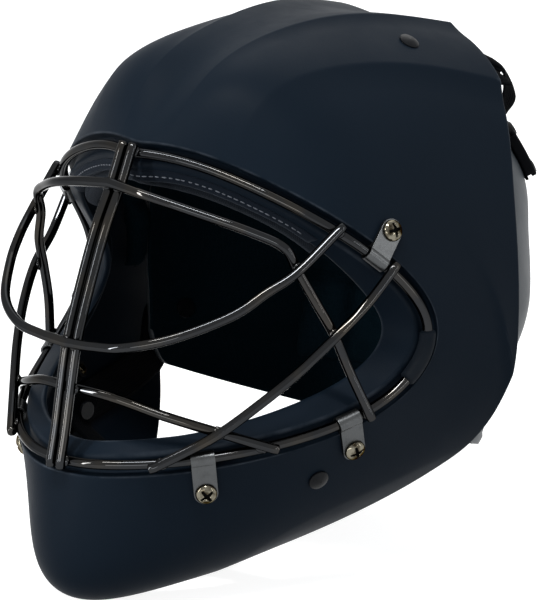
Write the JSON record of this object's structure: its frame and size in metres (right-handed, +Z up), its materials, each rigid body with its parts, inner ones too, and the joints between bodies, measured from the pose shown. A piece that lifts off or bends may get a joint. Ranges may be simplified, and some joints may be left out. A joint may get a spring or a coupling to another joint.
{
  "type": "field hockey goalkeeper helmet",
  "caption": "Full-face goalkeeper helmet: moulded shell, welded wire cage, sprung back plate, chin cup on straps and padded liner",
  "frame": {"origin": "under the middle of the helmet, level with the lowest point of the chin", "axes": "+Z up, the face looks along -Y, the wearer's left is +X"},
  "size_m": [0.2502, 0.3004, 0.2761],
  "materials": {
    "shell_plastic": "moulded, satin",
    "plate_plastic": "moulded, satin",
    "cage_wire": "gloss black coating",
    "clip_steel": "satin",
    "screw_steel": "bright nickel",
    "nut_steel": "zinc plated",
    "sleeve_rubber": "matt",
    "rivet_plastic": "semi-gloss",
    "liner_foam": "knitted cover",
    "strap_web": "woven",
    "buckle_plastic": "semi-gloss",
    "cup_plastic": "satin"
  },
  "bodies": {
    "helmet": {"shell": "shell_plastic", "cage_rim_wire": "cage_wire", "cage_centre_bars": "cage_wire", "cage_brow_wire": "cage_wire", "cage_sweep_wire": "cage_wire", "cage_cross_wire_left": "cage_wire", "cage_cross_wire_right": "cage_wire", "cage_lower_wire": "cage_wire", "temple_clips": "clip_steel", "cheek_clips": "clip_steel", "jaw_clips": "clip_steel", "clip_screws": "screw_steel", "clip_nuts": "nut_steel", "cage_sleeve_left": "sleeve_rubber", "cage_sleeve_right": "sleeve_rubber", "crown_rivets": "rivet_plastic", "jaw_rivets": "rivet_plastic", "brow_pad": "liner_foam", "crown_pad": "liner_foam", "side_pad_left": "liner_foam", "side_pad_right": "liner_foam", "jaw_pad_left": "liner_foam", "jaw_pad_right": "liner_foam", "upper_strap_left": "strap_web", "upper_strap_right": "strap_web", "lower_strap_left": "strap_web", "lower_strap_right": "strap_web"},
    "back_plate_body": {"back_plate": "plate_plastic", "rear_pad": "liner_foam", "strap_buckles": "buckle_plastic", "plate_rivets": "rivet_plastic"},
    "chin_cup_body": {"chin_cup": "cup_plastic", "chin_cup_pad": "liner_foam", "chin_strap_left": "strap_web", "chin_strap_right": "strap_web"}
  },
  "joints": [
    {"name": "back_plate_slide", "type": "slide", "parent": "helmet", "child": "back_plate_body", "axis": [0, 0.96, -0.28], "range_m": [0, 0.025], "stiffness_N_per_m": 400, "deforming": ["upper_strap_left", "upper_strap_right", "lower_strap_left", "lower_strap_right"]},
    {"name": "chin_cup_swing", "type": "hinge", "parent": "helmet", "child": "chin_cup_body", "pos_m": [0, -0.04872, 0.06663], "axis": [1, 0, 0], "range_deg": [-20, 20]}
  ]
}
